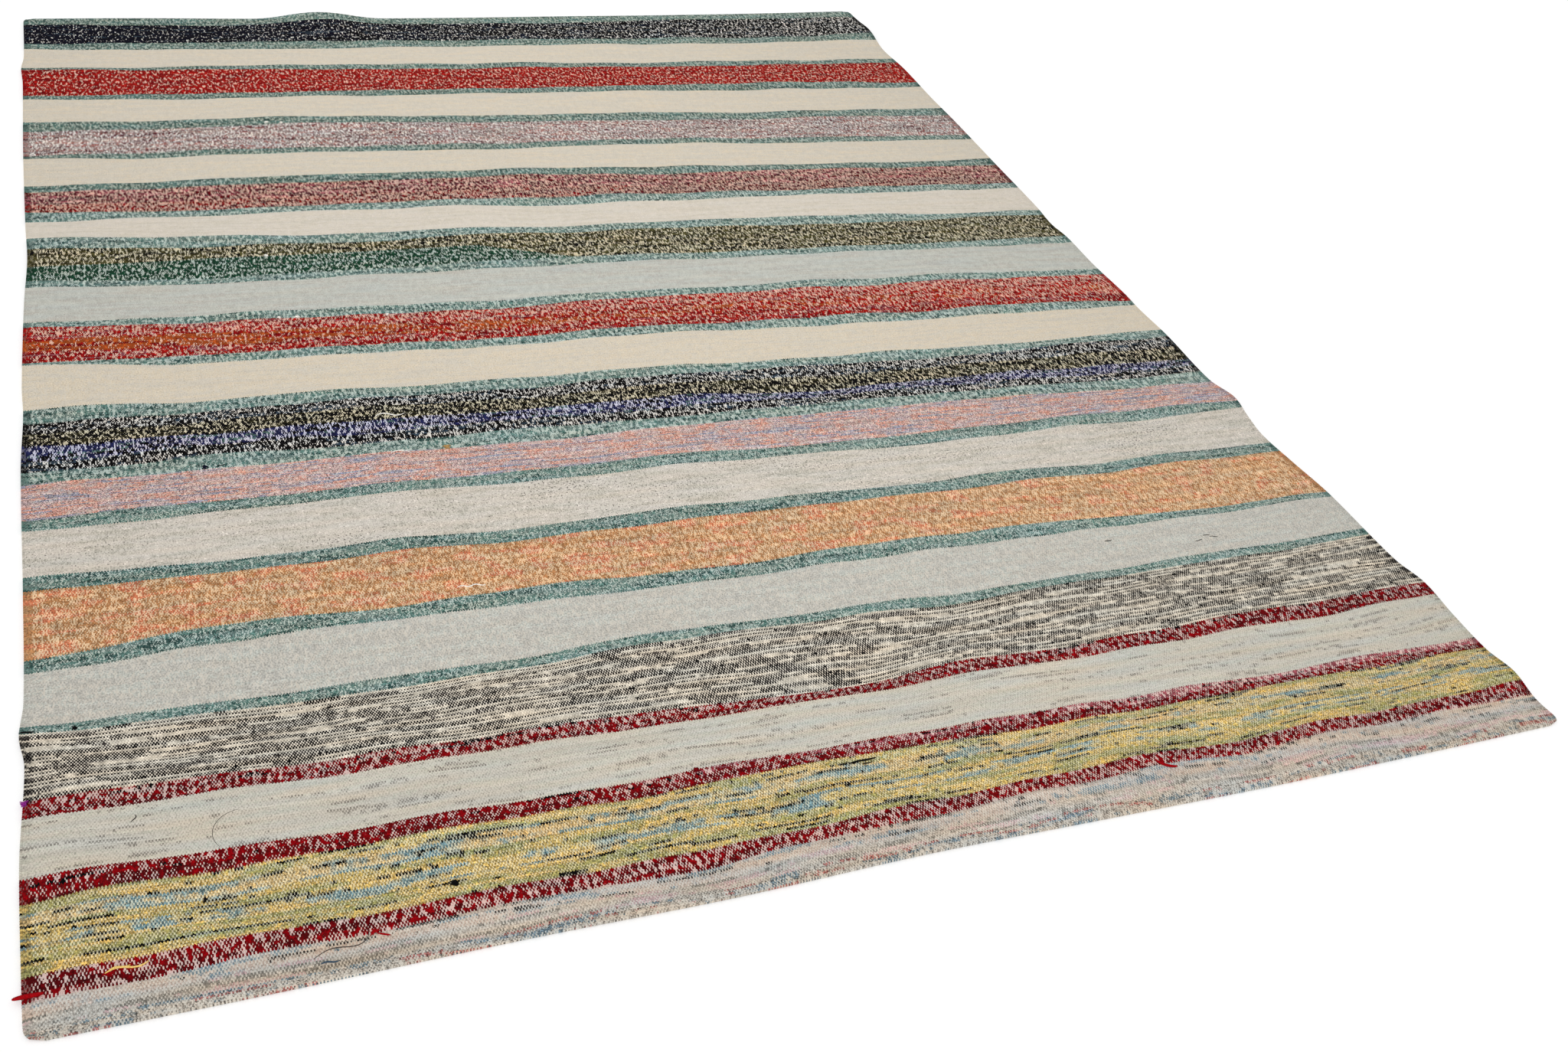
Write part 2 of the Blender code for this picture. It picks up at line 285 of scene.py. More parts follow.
# Wefts that are alike, as the yarns below vary them
HEM_WEFT = Yarn(
    "pebble", "petal", "haze", "husk", 0.22, 0.1, 0.6, 0.25,
    0.2, 0.9, 0.3, 0.5, 0.4, 0.5, 0.2, 1,
    specks=0.05,
)
YELLOW_STRIPS = Yarn(
    "ochre", "turquoise", "black", "chalk", 0.35, 0.07, 0.8, 0.25,
    0.2, 1, 0.3, 0.8, 0.9, 0.7, 0.5, 0.9,
    clump=0.04,
)
CRIMSON_STRIPS = Yarn(
    "crimson", "wine", "wine", "blossom", 0.35, 0, 0.5, 0.3,
    0.6, 1.1, 0.35, 0.5, 1, 0.5, 0.3, 0.5,
    clump=0.12, fade=0.25, clot=0.35, mottle=0.3,
)
GREY_WEFT = Yarn(
    "linen", "oatmeal", "haze", "husk", 0.3, 0.04, 0, 0.3,
    0.1, 1, 0.25, 0.3, 0.22, 0.12, 0.2, 0.6,
    mottle=0.1,
)
TEAL_WEFT = Yarn(
    "sage", "teal", "petrol", "mist", 0.3, 0.12, 0.6, 0.4,
    0.66, 0.3, 0.3, 0.6, 0.4, 0.12, 0.2, 0.5,
    clump=0.05, hatch=0.7, fade=0.2, clot=0.5, mottle=0.4,
)
DARK_WEFT = Yarn(
    "black", "slate", "black", "bone", 0.1, 0.02, 0.5, 0.3,
    0.97, 0.9, 0.8, 0.2, 1, 0.12, 0.15, 0.5,
    clump=0.06, hatch=0.35, fade=0.1, clot=0.33, mottle=0.6,
)
CREAM_WEFT = Yarn(
    "shell", "vanilla", "shell", "vanilla", 0.3, 0.002, 0.3, 0.3,
    0.3, 0.3, 0.4, 0.1, 0.1, 0.6, 0.2, 0.12,
    mottle=0.1,
)
RED_WEFT = Yarn(
    "scarlet", "crimson", "crimson", "rosy", 0.15, 0.02, 0.5, 0.3,
    1.34, 0.8, 0.7, 0.3, 1, 0.12, 0.3, 0.5,
    clump=0.08, hatch=0.35, fade=0.2, clot=0.8, mottle=0.5,
)
PLUM_WEFT = Yarn(
    "plum", "crimson", "wine", "rosy", 0.18, 0.2, 0.6, 0.3,
    0.19, 0.9, 0.6, 0.3, 1, 0.12, 0.35, 0.5,
    clump=0.06, hatch=0.3, lean=-0.9, clot=0.4, mottle=0.5,
)

# Each yarn by its name
YARNS = {
    "hem": HEM_WEFT._replace(
        second="dusk", third="rosewood", second_share=0.17, third_share=0.11, patch=0.5,
        cover=0.22, marl=0.9, relief=0.6, soft=0.4, specks=0.1, clot=0.4, mottle=0.3,
    ),
    "pebble": HEM_WEFT,
    "fawn": HEM_WEFT._replace(
        main="fawn", second="dusk", third="soot", second_share=0.12, third_share=0.05,
        broken=0.3, marl=0.4, soft=0.6,
    ),
    "crimson": CRIMSON_STRIPS._replace(cover=0.25, fade=0, clot=0.45),
    "lime": YELLOW_STRIPS._replace(
        main="lime", second="ochre", second_share=0.45, third_share=0.03, broken=0.2,
        clump=0.1,
    ),
    "lagoon": YELLOW_STRIPS,
    "marigold": YELLOW_STRIPS._replace(
        main="lime", second="ochre", second_share=0.5, third_share=0.08,
    ),
    "chalk": YELLOW_STRIPS._replace(
        main="peach", second_share=0.25, cover=0.1, soft=0.8, lean=-0.35,
    ),
    "honey": YELLOW_STRIPS._replace(second="lime", third_share=0.05, cover=0.1),
    "garnet": CRIMSON_STRIPS,
    "sloe": CRIMSON_STRIPS._replace(
        second="rose", third="black", second_share=0.3, third_share=0.03, cover=0.26, soft=0.2,
        lean=1.2, fade=0.75, clot=0.5, mottle=0.4,
    ),
    "oatmeal": GREY_WEFT._replace(main="oatmeal", second="linen", mottle=0),
    "linen": GREY_WEFT,
    "ruby": CRIMSON_STRIPS._replace(cover=0.59, fade=-0.35, clot=0.5, mottle=0.4),
    "blush": CRIMSON_STRIPS._replace(
        second="black", second_share=0.12, third_share=0.1, cover=0.34, fleck=0.4, soft=0.2,
        fade=-0.6, clot=0.4,
    ),
    "pepper": Yarn(
        "flax", "black", "soot", "ecru", 0.62, 0.04, 0, 0.12,
        0.37, 1.2, 0.3, 0.3, 0.5, 0.12, 0.2, 0.5,
        pairs=0.75, mottle=0.8,
    ),
    "teal": TEAL_WEFT._replace(
        main="teal", second="sage", third_share=0.2, cover=0.86, hatch=0.75, fade=0.25,
        clot=0.15, mottle=0.3,
    ),
    "sage": TEAL_WEFT,
    "jade": TEAL_WEFT._replace(main="jade", warp="dew", cover=0.68, clot=0.6),
    "silver": GREY_WEFT._replace(
        main="silver", second="ice", third="silver", third_share=0.01, patch=0.6, cover=0.31,
        neat=0.6, fleck=0.35, relief=0.1, drift=0.15, clump=0.05, clot=0.15, mottle=0.2,
    ),
    "apricot": Yarn(
        "apricot", "rust", "apricot", "wheat", 0.22, 0.02, 0.9, 0.1,
        0.52, 0.75, 0.55, 0.5, 0.45, 1, 0.3, 0.9,
        clump=0.02, hatch=0.6, lean=-0.2, fade=0.3, blot=0.9, clot=0.2, mottle=0.6,
    ),
    "barley": GREY_WEFT._replace(
        main="barley", third="barley", third_share=0.004, patch=0.8, broken=0.4, neat=0.3,
        fleck=0.35, relief=0.3, soft=1.2, drift=0.25, clump=0.05, specks=0.13,
    ),
    "petal": Yarn(
        "petal", "coral", "lilac", "shell", 0.4, 0.14, 0.8, 0.25,
        0.37, 0.4, 0.3, 1, 0.5, 0.9, 0.5, 1,
        clump=0.05, hatch=0.2, blot=1, clot=0.3, mottle=0.5,
    ),
    "magpie": DARK_WEFT,
    "iris": DARK_WEFT._replace(
        main="iris", second="black", third="teal", warp="pearl", second_share=0.3,
        third_share=0.05, cover=0.8, fade=0, clot=0.4, mottle=0.5,
    ),
    "moss": DARK_WEFT._replace(
        second="moss", warp="straw", second_share=0.2, cover=0.94, clot=0.5, mottle=0.8,
    ),
    "coal": DARK_WEFT._replace(cover=0.86, fade=0.2, clot=0.25, mottle=0.2),
    "cream": CREAM_WEFT._replace(main="cream", third="cream", third_share=0.005, marl=0.15),
    "scarlet": RED_WEFT._replace(
        third="rose", second_share=0.35, third_share=0.05, cover=1.07, fade=-0.2, clot=0.55,
    ),
    "ember": RED_WEFT._replace(
        second="orange", second_share=0.4, third_share=0.1, patch=0.6, cover=0.94, lean=-0.7,
        fade=1.2, clot=0.5, mottle=0.4,
    ),
    "coral": RED_WEFT._replace(
        third="rose", second_share=0.2, third_share=0.06, cover=0.34, clot=0.45, mottle=0.4,
    ),
    "ice": CREAM_WEFT._replace(
        main="ice", second="silver", third="ice", warp="ice", third_share=0.015, patch=0.1,
        broken=0.2, cover=0.41, fleck=0.5, marl=0.15, soft=0.12, drift=0.25, mottle=0.2,
    ),
    "olive": DARK_WEFT._replace(
        main="olive", second="moss", warp="straw", second_share=0.3, third_share=0.2,
        patch=0.6, cover=0.79, marl=0.3, fade=0, clot=0.55, mottle=0.5,
    ),
    "shell": CREAM_WEFT,
    "mulberry": PLUM_WEFT,
    "plum": PLUM_WEFT._replace(
        second="rose", second_share=0.32, third_share=0.25, cover=0.25, lean=0, fade=0.2,
        clot=0.5, mottle=0.6,
    ),
    "vanilla": CREAM_WEFT._replace(main="vanilla", second="cream", third="vanilla"),
    "mauve": Yarn(
        "mauve", "rosewood", "plum", "bone", 0.18, 0.1, 0.4, 0.4,
        0.17, 0.9, 0.5, 0.4, 0.6, 0.12, 0.2, 0.5,
        clump=0.05, specks=0.2, clot=0.3, mottle=0.3,
    ),
    "poppy": RED_WEFT,
    "midnight": DARK_WEFT._replace(
        main="navy", second="black", third="slate", second_share=0.5, cover=1.84, neat=0.8,
        fleck=0.9, clump=0.05, lean=0.8, fade=1.4, clot=0.6,
    ),
}

# The yarns whose picks are beaten closer, and how much closer
FINE_PICKS = {"pepper": 0.9, "petal": 0.6}


def linear(red, green, blue):
    """A colour as a screen shows it, from 0 to 255, as linear light."""

    def channel(level):
        share = level / 255
        return share / 12.92 if share <= 0.04045 else ((share + 0.055) / 1.055) ** 2.4

    return channel(red), channel(green), channel(blue)


def dye(name, description, *screen):
    """A colour property whose default is a colour as a screen shows it."""
    return FloatVectorProperty(
        name=name, description=description, subtype="COLOR", size=3, min=0, max=1, default=linear(*screen)
    )


class RugDyes(PropertyGroup):
    pebble: dye("Pebble", "Pale grey-beige weft of the hem", 200, 189, 175)
    flax: dye("Flax", "Natural weft of the pepper band", 230, 220, 201)
    husk: dye("Husk", "The warp where it sinks into a pale weft", 216, 209, 196)
    bone: dye("Bone", "The undyed warp, as it shows in most bands", 250, 246, 238)
    wheat: dye("Wheat", "The warp in the orange band", 250, 221, 182)
    ecru: dye("Ecru", "The warp in the pepper band", 250, 240, 222)
    haze: dye("Haze", "Blue-grey dots in the pale bands", 150, 144, 134)
    soot: dye("Soot", "Dark specks and broken rows", 66, 60, 58)
    fawn: dye("Fawn", "Pinkish beige weft of the hem", 212, 191, 175)
    dusk: dye("Dusk", "Grey-blue weft of the hem", 132, 150, 158)
    rust: dye("Rust", "Soft red-orange weft", 216, 128, 92)
    khaki: dye("Khaki", "Soft olive weft", 186, 150, 96)
    slate: dye("Slate", "Dark blue-grey of the printed strips", 66, 84, 100)
    rosewood: dye("Rosewood", "Dull red dots in the hem", 190, 124, 116)
    crimson: dye("Crimson", "Deep red strips", 156, 3, 13)
    wine: dye("Wine", "Darkest red of the strips", 112, 4, 12)
    rose: dye("Rose", "Pink strips", 190, 100, 110)
    blossom: dye("Blossom", "The warp in the crimson bands", 255, 232, 222)
    rosy: dye("Rosy warp", "The warp in the red bands", 252, 218, 196)
    pearl: dye("Pearl", "The warp in the blue-violet band", 230, 228, 246)
    shell: dye("Shell", "The warp where it shows pinkish", 226, 217, 204)
    lime: dye("Lime", "Yellow-green strips", 184, 178, 112)
    ochre: dye("Ochre", "Yellow strips", 242, 206, 120)
    turquoise: dye("Turquoise", "Light blue-green strips", 136, 168, 172)
    peach: dye("Peach", "Pale orange strips", 238, 203, 138)
    chalk: dye("Chalk", "The warp in the yellow band", 252, 246, 214)
    black: dye("Black", "Black strips", 10, 9, 11)
    oatmeal: dye("Oatmeal", "Cool grey-cream weft", 206, 200, 186)
    linen: dye("Linen", "Greenish grey-cream weft", 206, 204, 188)
    teal: dye("Teal", "Deeper weft between the near bands", 98, 132, 124)
    sage: dye("Sage", "Paler weft between the far bands", 114, 136, 130)
    jade: dye("Jade", "Darker weft between the farthest bands", 92, 112, 104)
    dew: dye("Dew", "Palest ply of the farthest teal weft", 188, 198, 186)
    petrol: dye("Petrol", "Darkest ply of the teal weft", 56, 84, 80)
    mist: dye("Mist", "Palest ply of the teal weft", 206, 218, 208)
    silver: dye("Silver", "Cool grey weft", 195, 192, 183)
    apricot: dye("Apricot", "Soft orange weft", 196, 140, 93)
    orange: dye("Orange", "Orange weft", 214, 98, 42)
    olive: dye("Olive", "Olive-brown weft", 100, 94, 52)
    moss: dye("Moss", "Dark olive weft", 62, 58, 34)
    bottle: dye("Bottle green", "Dark green weft of the wedge", 28, 78, 54)
    straw: dye("Straw", "The warp where it shows yellowish", 236, 226, 196)
    barley: dye("Barley", "Flecked cream weft", 230, 221, 209)
    petal: dye("Petal", "Pale pink weft", 213, 181, 177)
    coral: dye("Coral", "Orange-pink weft", 225, 166, 150)
    lilac: dye("Lilac", "Pale blue-violet weft", 162, 160, 178)
    iris: dye("Iris", "Blue-violet weft", 42, 46, 96)
    cream: dye("Cream", "Smooth warm cream weft", 226, 213, 191)
    vanilla: dye("Vanilla", "Smooth far cream weft", 218, 209, 193)
    scarlet: dye("Scarlet", "Bright red weft", 202, 26, 18)
    ice: dye("Ice", "Cold pale grey weft", 200, 201, 192)
    plum: dye("Plum", "Red-violet weft", 104, 40, 52)
    mauve: dye("Mauve", "Greyed pink weft", 170, 146, 141)
    violet: dye("Violet", "Purple knot at the left side", 138, 44, 134)
    navy: dye("Navy", "Dark blue weft of the far end", 12, 14, 34)


def size(name, description, metres):
    """A length property."""
    return FloatProperty(name=name, description=description, default=metres, unit="LENGTH")


def strength(name, description, amount):
    """A property for how strong a light is."""
    return FloatProperty(name=name, description=description, default=amount, min=0)


class RugSizes(PropertyGroup):
    width: size("Width", "Across the weft, before the selvedges stray", 2.00)
    length: size("Length", "Along the warp, as woven", 2.76)
    thickness: size("Thickness", "Of the woven cloth", 0.003)
    corner_radius: size("Corner radius", "Rounding of the four corners", 0.018)
    warp_pitch: size("Warp pitch", "From one warp thread to the next", 0.00185)
    weft_pitch: size("Weft pitch", "From one pick of weft to the next", 0.0036)
    cockle: size("Cockle", "Height of the cloth's soft unevenness", 0.0010)
    selvedge: size("Selvedge radius", "Of the rounded edge where the weft turns", 0.0019)


class StageSettings(PropertyGroup):
    floor_colour: dye("Floor", "Colour of the plain floor", 255, 255, 255)
    floor_glow: strength("Floor glow", "Light the floor gives off", 0.06)
    sky_strength: strength("Sky", "Light from all round", 0.62)
    lamp_strength: strength("Lamp", "Light of the soft key lamp", 1.45)


class RugSettings(PropertyGroup):
    sizes: PointerProperty(type=RugSizes)
    dyes: PointerProperty(type=RugDyes)
    stage: PointerProperty(type=StageSettings)


# --------------------------------------------------------------------------
# The cloth's shape
# --------------------------------------------------------------------------


def read_curve(places, values, at):
    """The value at one place on the smooth curve through a table's points."""
    last = len(places) - 2
    span = max(index for index in range(last + 1) if index == 0 or at >= places[index])

    def slope(index):
        before = max(index - 1, 0)
        after = min(index + 1, last + 1)
        return (values[after] - values[before]) / (places[after] - places[before])

    length = places[span + 1] - places[span]
    share = min(max((at - places[span]) / length, 0.0), 1.0)
    rise = 3 * share**2 - 2 * share**3
    leave = share * (1 - share) ** 2 * slope(span) * length
    arrive = share**2 * (share - 1) * slope(span + 1) * length
    return values[span] * (1 - rise) + values[span + 1] * rise + leave + arrive


def lift_at(across, along, cockle):
    """How far the cloth's underside stands off the floor."""

    def bell(distance, reach):
        return 0.5 + 0.5 * math.cos(math.pi * min(abs(distance) / reach, 1.0))

    swells = sum(
        swell.height
        * bell(across - swell.across, swell.reach_across)
        * bell(along - swell.along, swell.reach_along)
        for swell in SWELLS
    )
    place = Vector((across * COCKLE_ACROSS, along * COCKLE_ALONG, COCKLE_SLICE))
    waves = 0.5 + 0.5 * noise.noise(place)
    return swells + cockle * max(waves, 0.0)


# A line of the mesh that runs across the rug: where it lies at each station,
# how many picks of weft lie before it, and its place in the list of courses
Line = namedtuple("Line", "edge pick course")


def courses():
    """Each course of one yarn as its yarn and its number of picks."""
    sizes = bpy.context.scene.rag_rug.sizes
    found = []
    near = sum(NEAR_END)
    for band in BANDS:
        far = sum(band.far_edge)
        depth = (far - near) * MM / len(STATIONS)
        for yarn, share in band.yarns.items():
            pitch = sizes.weft_pitch * FINE_PICKS.get(yarn, 1.0)
            found.append((yarn, max(round(depth * share / pitch), 1)))
        near = far
    return found


def weft_lines():
    """All the lines across the rug, from the near end to the far end."""
    counts = iter(courses())
    lines = [Line([place * MM for place in NEAR_END], 0, 0)]
    for band in BANDS:
        near = lines[-1].edge
        far = [place * MM for place in band.far_edge]
        woven = 0.0
        for share in band.yarns.values():
            picks = next(counts)[1]
            start = lines[-1]
            rows = math.ceil(picks / PICKS_PER_ROW)
            for row in range(1, rows + 1):
                reach = woven + share * row / rows
                edge = [low + (high - low) * reach for low, high in zip(near, far)]
                lines.append(Line(edge, start.pick + picks * row / rows, start.course + row / rows))
            woven += share
    return lines


def round_corner(across, along, ends, width, radius):
    """Pull a point that lies in a square corner in to the corner's arc."""
    near_end, far_end = ends
    centre_across = min(max(across, radius), width - radius)
    centre_along = min(max(along, near_end + radius), far_end - radius)
    distance = math.hypot(across - centre_across, along - centre_along)
    if distance <= radius:
        return across, along
    share = radius / distance
    return centre_across + (across - centre_across) * share, centre_along + (along - centre_along) * share


def plan_point(across, line, ends, sizes):
    """A point of a weft line, from above, from the near left corner."""
    along = read_curve(STATIONS, line.edge, across)
    across, along = round_corner(across, along, ends, sizes.width, sizes.corner_radius)
    from_middle = 2 * across / sizes.width - 1
    side = RIGHT_SELVEDGE if from_middle > 0 else LEFT_SELVEDGE
    stray = read_curve(tuple(side), tuple(side.values()), along) * MM
    return across + stray * from_middle**3, along


@functools.cache
def cloth_plan():
    """The grid of plan points, a row for each weft line."""
    sizes = bpy.context.scene.rag_rug.sizes
    lines = weft_lines()
    places = [sizes.width * column / COLUMNS for column in range(COLUMNS + 1)]
    ends = [
        (read_curve(STATIONS, lines[0].edge, across), read_curve(STATIONS, lines[-1].edge, across))
        for across in places
    ]
    grid = [[plan_point(across, line, end, sizes) for across, end in zip(places, ends)] for line in lines]
    return places, lines, grid


@functools.cache
def near_left_corner():
    """Where the places on the rug are counted from, in the solid's frame."""
    grid = cloth_plan()[2]
    low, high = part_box(NODE)
    right = max(x for row in grid for x, _ in row)
    near = min(y for row in grid for _, y in row)
    return Vector((high.x - right, low.y - near, 0.0))


def on_cloth(across, along, above=0.0):
    """A point on top of the cloth, in the solid's frame."""
    sizes = bpy.context.scene.rag_rug.sizes
    height = sizes.thickness + lift_at(across, along, sizes.cockle) + above
    return near_left_corner() + Vector((across, along, height))


def finish_piece(piece, material):
    """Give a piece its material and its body."""
    piece.data.materials.clear()
    piece.data.materials.append(material)
    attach(piece, BODY)
    return piece


def mesh_piece(name, points, faces, weave=None):
    """A new mesh object, with its place in the weave kept at each point."""
    mesh = bpy.data.meshes.new(name)
    mesh.from_pydata(points, [], faces)
    mesh.validate()
    if weave is not None:
        kept = mesh.attributes.new(WEAVE_ATTRIBUTE, "FLOAT_VECTOR", "POINT")
        kept.data.foreach_set("vector", [number for place in weave for number in place])
    piece = bpy.data.objects.new(name, mesh)
    bpy.context.collection.objects.link(piece)
    mesh.shade_smooth()
    return piece


def make_cloth():
    """The woven panel: one sheet through all the weft lines, then thickened."""
    sizes = bpy.context.scene.rag_rug.sizes
    places, lines, grid = cloth_plan()
    corner = near_left_corner()
    points = [corner + Vector((x, y, lift_at(x, y, sizes.cockle))) for row in grid for x, y in row]
    weave = [(across, line.pick, line.course) for line in lines for across in places]
    wide = COLUMNS + 1
    faces = [
        (start + column, start + column + 1, start + column + 1 + wide, start + column + wide)
        for start in range(0, wide * (len(lines) - 1), wide)
        for column in range(COLUMNS)
    ]
    cloth = mesh_piece("rug_cloth", points, faces, weave)
    bake_map = cloth.data.uv_layers.new(name=BAKE_MAP)
    picks = lines[-1].pick
    for loop in cloth.data.loops:
        across, pick, _ = weave[loop.vertex_index]
        bake_map.data[loop.index].uv = (across / sizes.width, pick / picks)
    body = cloth.modifiers.new("Thickness", "SOLIDIFY")
    body.thickness = sizes.thickness
    body.offset = 1.0
    rim = cloth.modifiers.new("Soft rim", "BEVEL")
    rim.width = sizes.thickness * RIM_SHARE
    rim.segments = 2
    rim.limit_method = "ANGLE"
    rim.angle_limit = math.radians(RIM_ANGLE)
    return cloth


def make_selvedge(name, right):
    """The rounded edge of one side, with a bulge where each pick turns back."""
    sizes = bpy.context.scene.rag_rug.sizes
    places, lines, grid = cloth_plan()
    corner = near_left_corner()
    outwards = 1 if right else -1
    column = -1 if right else 0
    points = []
    weave = []
    for before, after, near, far in zip(lines, lines[1:], grid, grid[1:]):
        steps = round((after.pick - before.pick) * RINGS_PER_PICK)
        for step in range(steps):
            share = step / steps
            x = near[column][0] + (far[column][0] - near[column][0]) * share
            y = near[column][1] + (far[column][1] - near[column][1]) * share
            pick = before.pick + (after.pick - before.pick) * share
            course = before.course + (after.course - before.course) * share
            bulge = sizes.selvedge * (1 - SELVEDGE_BULGE + SELVEDGE_BULGE * math.sin(2 * math.pi * pick))
            height = lift_at(x, y, sizes.cockle) + sizes.selvedge
            centre = corner + Vector((x - outwards * bulge * 0.5, y, height))
            for side in range(SELVEDGE_SIDES):
                turn = 2 * math.pi * side / SELVEDGE_SIDES
                points.append(centre + Vector((math.cos(turn) * bulge, 0.0, math.sin(turn) * bulge)))
                weave.append((places[column], pick, course))
    faces = [face[::-1] for face in tube_faces(len(points) // SELVEDGE_SIDES, SELVEDGE_SIDES)]
    return mesh_piece(name, points, faces, weave)


def tube_faces(rings, sides, first=0):
    """The faces of a closed tube whose rings of points follow one another."""
    faces = [
        (
            first + ring * sides + side,
            first + ring * sides + (side + 1) % sides,
            first + (ring + 1) * sides + (side + 1) % sides,
            first + (ring + 1) * sides + side,
        )
        for ring in range(rings - 1)
        for side in range(sides)
    ]
    last = first + rings * sides
    faces.append(tuple(range(first + sides - 1, first - 1, -1)))
    faces.append(tuple(range(last - sides, last)))
    return faces


def tube_rings(path, thick, sides):
    """Rings of points round a path, thinner towards its two ends."""
    points = []
    for step, centre in enumerate(path):
        ahead = (path[min(step + 1, len(path) - 1)] - path[max(step - 1, 0)]).normalized()
        aside = ahead.cross(Vector((0.0, 0.0, 1.0))).normalized()
        upwards = aside.cross(ahead)
        share = step / (len(path) - 1)
        radius = thick / 2 * (STRAND_TIP + (1 - STRAND_TIP) * math.sin(math.pi * share) ** 0.5)
        for side in range(sides):
            angle = 2 * math.pi * side / sides
            points.append(centre + (aside * math.cos(angle) + upwards * math.sin(angle)) * radius)
    return points


def strand_path(strand):
    """The line that a loose end follows on the cloth."""
    steps = max(round(strand.length / STRAND_STEP_MM), FEWEST_STEPS)
    across, along = strand.across, strand.along
    path = []
    for step in range(steps + 1):
        share = step / steps
        path.append(on_cloth(across, along, strand.thick * MM * STRAND_RISE))
        sway = strand.sway * math.cos(2 * math.pi * strand.waves * share)
        heading = math.radians(strand.heading + strand.turn * share + sway)
        across += math.cos(heading) * strand.length * MM / steps
        along += math.sin(heading) * strand.length * MM / steps
    return path


def tuft_paths(tuft, chance):
    """The lines of a tuft's short ends, each an arch from the cloth and back."""
    paths = []
    width = tuft.width * MM
    for _ in range(tuft.ends):
        heading = chance.uniform(0, 2 * math.pi)
        reach = width * chance.uniform(*TUFT_REACH)
        rise = width * chance.uniform(*TUFT_RISE)
        off = Vector((chance.uniform(*TUFT_START), chance.uniform(*TUFT_START), 0.0)) * width
        arch = []
        for step in range(ARCH_STEPS + 1):
            angle = math.pi * step / ARCH_STEPS
            out = -math.cos(angle) * reach
            flat = Vector((math.cos(heading) * out, math.sin(heading) * out, math.sin(angle) * rise))
            arch.append(on_cloth(tuft.across, tuft.along) + off + flat)
        paths.append(arch)
    return paths


def make_loose_ends(name, dye_name):
    """All the loose ends, knots and tufts of one dye."""
    chance = random.Random(dye_name)
    paths = [(strand_path(strand), strand.thick * MM) for strand in STRANDS if strand.dye == dye_name]
    for tuft in TUFTS:
        if tuft.dye == dye_name:
            paths += [(path, TUFT_THICK) for path in tuft_paths(tuft, chance)]
    points = []
    faces = []
    for path, thick in paths:
        faces += [face[::-1] for face in tube_faces(len(path), STRAND_SIDES, len(points))]
        points += tube_rings(path, thick, STRAND_SIDES)
    return mesh_piece(name, points, faces)


# --------------------------------------------------------------------------
# Shading
# --------------------------------------------------------------------------

# Soft grain gathers round a half. This is how widely it spreads
GRAIN_SPREAD = 0.125
# The amounts of a yarn are kept as colours, which hold nothing below zero
KEPT_LOW = -4.0
KEPT_SPAN = 8.0

# How fast a wandering value changes, for each metre across and for each pick
# along, how far each pick's own lot shifts it, and how much finer detail it has
Pace = namedtuple("Pace", "across along lot detail", defaults=[0, 0.0])
WARP_SWAYS = Pace(6, 0.03)
PICK_SWAYS = Pace(7, 0.05)
LONG_RUNS = Pace(11, 7.1, 60)
SHARED_RUNS = Pace(13, 0.33)
SHORT_RUNS = Pace(75, 7.3, 90)
BLOTS = Pace(32, 0.12)
PLIES = Pace(420, 1.3, detail=1.0)
CLUMPS = Pace(150, 0.45)
CLOTS = Pace(200, 0.3)
SPECKS = Pace(300, 1.2)
SPECK_GROUPS = Pace(6, 0.09)
CASTS = Pace(8, 0.25)
LEVELS = Pace(4, 7.9, 40)
MOTTLES = Pace(90, 0.22)
FIBRES = Pace(500, 1.7)
# The same for the flecks, for each warp thread, and for the strokes, along and
# across their slant
FLECKS = Pace(1.3, 0.4)
STROKES = Pace(520, 160)

# How far a warp thread sways, in metres, and a pick, in picks, how flat a pick's
# back is, and how far it bends round each warp thread
WARP_SWAY = 0.0006
PICK_SWAY = 0.5
PICK_FLATNESS = 1.7
PICK_BEND = 0.3

# How far a lean shifts the dyes, how far a pick's lot and its turn part the main
# dye from the second where picks take turns, and how soft the third's ends are
LEAN_REACH = 3.0
PAIR_LOT = 1.2
PAIR_MIDDLE = 1.1
PAIR_REACH = 2
THIRD_SOFT = 0.12

# The wedge of dark green: its depth at the left as a share of the olive band, how
# much deeper it grows and over what distance, and where it starts to taper
WEDGE_DEPTH = 0.42
WEDGE_GROWTH = 0.2
WEDGE_GROWS_OVER = 0.3
WEDGE_TURN = 0.78
WEDGE_TAPER = 0.18

# How deep the marl is, and how dark its darkest ply
MARL_DEPTH = 0.45
DARKEST_PLY = 0.25

# How the pale warp shows: how far a pick's lot shifts it, how softly and how far
# a clump hides it, how soft a dot's rim is, how near a selvedge it fades and how
# softly, and the share of it that is left there
LOT_SHIFT = 0.4
CLUMP_SOFT = 0.8
CLUMP_HIDES = 1.5
DOT_SOFT = 0.2
EDGE_WIDTH = 0.010
EDGE_SOFT = 0.004
EDGE_PALE = 0.2

# The painted shade in the gaps and round each dot, its near-black colour, and how far a clump clears it
RIM_PLACE = 0.2
RIM_WIDTH = 0.35
RIM_SHADE = 0.3
GAP_SHADE = 0.45
GAP_SHADE_COLOUR = (0.006, 0.005, 0.005)
CLUMP_CLEARS = 0.8

# The dark specks: how far they gather in groups, how rare they are, how much
# commoner a yarn makes them, how soft their rims are and how dark they are
SPECK_GATHERS = 0.3
SPECK_CUT = 4.0
SPECK_REACH = 12
SPECK_SOFT = 0.4
SPECK_DEPTH = 0.7

# How far the colour drifts to warm or cool and to light or dark, how much painted
# shade darkens the sides, how deep the mottle is, and the height of the fibres and picks
CAST_DEPTH = 0.03
LEVEL_DEPTH = 0.05
PAINTED_SIDE_SHADE = 0.36
MOTTLE_DEPTH = 0.1
FIBRE_HEIGHT = 0.1
PICK_HEIGHT = 0.0005

